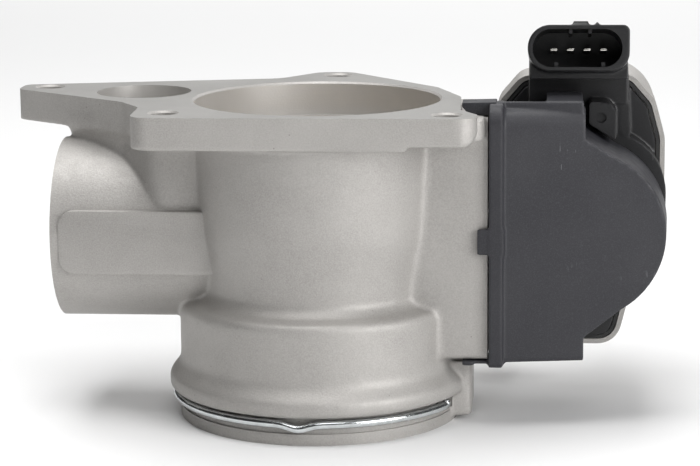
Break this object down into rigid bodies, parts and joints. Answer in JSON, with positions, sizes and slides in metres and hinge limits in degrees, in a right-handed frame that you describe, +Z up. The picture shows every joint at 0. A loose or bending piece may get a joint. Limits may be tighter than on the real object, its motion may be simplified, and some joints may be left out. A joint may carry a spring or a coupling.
{
  "type": "throttle body",
  "caption": "Motor-driven throttle body with a bolting flange, side duct, clip socket, bevel-gear hood and plug connector.",
  "frame": {"origin": "under the middle of the whole body, at the height of the lower spigot rim that it stands on", "axes": "+Z up the main bore and out of the flange face, +X along the throttle shaft to the actuator, +Y to the back, where the motor is"},
  "size_m": [0.1626, 0.0984, 0.0973],
  "materials": {
    "cast_aluminium": "sand-blasted casting",
    "steel": "machined",
    "zinc_wire": "bright zinc",
    "brass": "machined",
    "copper": "enamelled",
    "tinned_contact": "tinned",
    "black_plastic": "fine moulded grain",
    "grey_black_plastic": "fine moulded grain",
    "gear_plastic": "moulded",
    "rubber": "matt",
    "ferrite": "sintered",
    "board": "solder mask"
  },
  "bodies": {
    "housing": {"casting": "cast_aluminium", "actuator_housing": "cast_aluminium", "bearing_outer_ring": "steel", "bearing_balls": "steel", "return_spring": "steel", "intermediate_axle": "steel", "motor_can": "steel", "actuator_screw_1": "steel", "actuator_screw_2": "steel", "actuator_screw_3": "steel", "cover_screw_1": "steel", "cover_screw_2": "steel", "cover_screw_3": "steel", "wire_clip": "zinc_wire", "shaft_bush": "brass", "output_bush_front": "brass", "output_bush_rear": "brass", "motor_bush": "brass", "terminal_1": "tinned_contact", "terminal_2": "tinned_contact", "terminal_3": "tinned_contact", "terminal_4": "tinned_contact", "cover": "black_plastic", "position_sensor": "black_plastic", "motor_end_cap": "black_plastic", "hood": "grey_black_plastic", "socket_seal": "rubber", "shaft_seal": "rubber", "cover_seal": "rubber", "motor_magnet_1": "ferrite", "motor_magnet_2": "ferrite", "motor_brush_1": "ferrite", "motor_brush_2": "ferrite", "sensor_board": "board"},
    "throttle": {"throttle_shaft": "steel", "throttle_plate": "brass", "plate_screw_1": "steel", "plate_screw_2": "steel", "bearing_inner_ring": "steel", "driven_bevel_gear": "gear_plastic", "shaft_nut": "steel"},
    "output": {"output_shaft": "steel", "driving_bevel_gear": "gear_plastic", "output_gear": "gear_plastic", "position_magnet": "ferrite"},
    "intermediate": {"intermediate_gear": "gear_plastic"},
    "rotor": {"motor_pinion": "brass", "rotor_shaft": "steel", "rotor_core": "copper", "commutator": "copper"}
  },
  "joints": [
    {"name": "throttle_turn", "type": "hinge", "parent": "housing", "child": "throttle", "pos_m": [-0.00411, -0.01207, 0.047], "axis": [1, 0, 0], "range_deg": [0, 85], "stiffness_Nm_per_rad": 0.1, "springref_deg": -17.19},
    {"name": "output_turn", "type": "hinge", "parent": "housing", "child": "output", "pos_m": [0.05979, -0.01207, 0.047], "axis": [0, 1, 0], "range_deg": [0, 60.75]},
    {"name": "intermediate_turn", "type": "hinge", "parent": "housing", "child": "intermediate", "pos_m": [0.05451, -0.01207, 0.0651], "axis": [0, 1, 0], "range_deg": [-232.8, 0]},
    {"name": "motor_turn", "type": "hinge", "parent": "housing", "child": "rotor", "pos_m": [0.06739, -0.01207, 0.068], "axis": [0, 1, 0], "range_deg": [0, 698.3]}
  ],
  "couplings": [
    {"joint": "output_turn", "follows": "throttle_turn", "ratio": 0.71429},
    {"joint": "intermediate_turn", "follows": "throttle_turn", "ratio": -2.7381},
    {"joint": "motor_turn", "follows": "throttle_turn", "ratio": 8.2143}
  ]
}
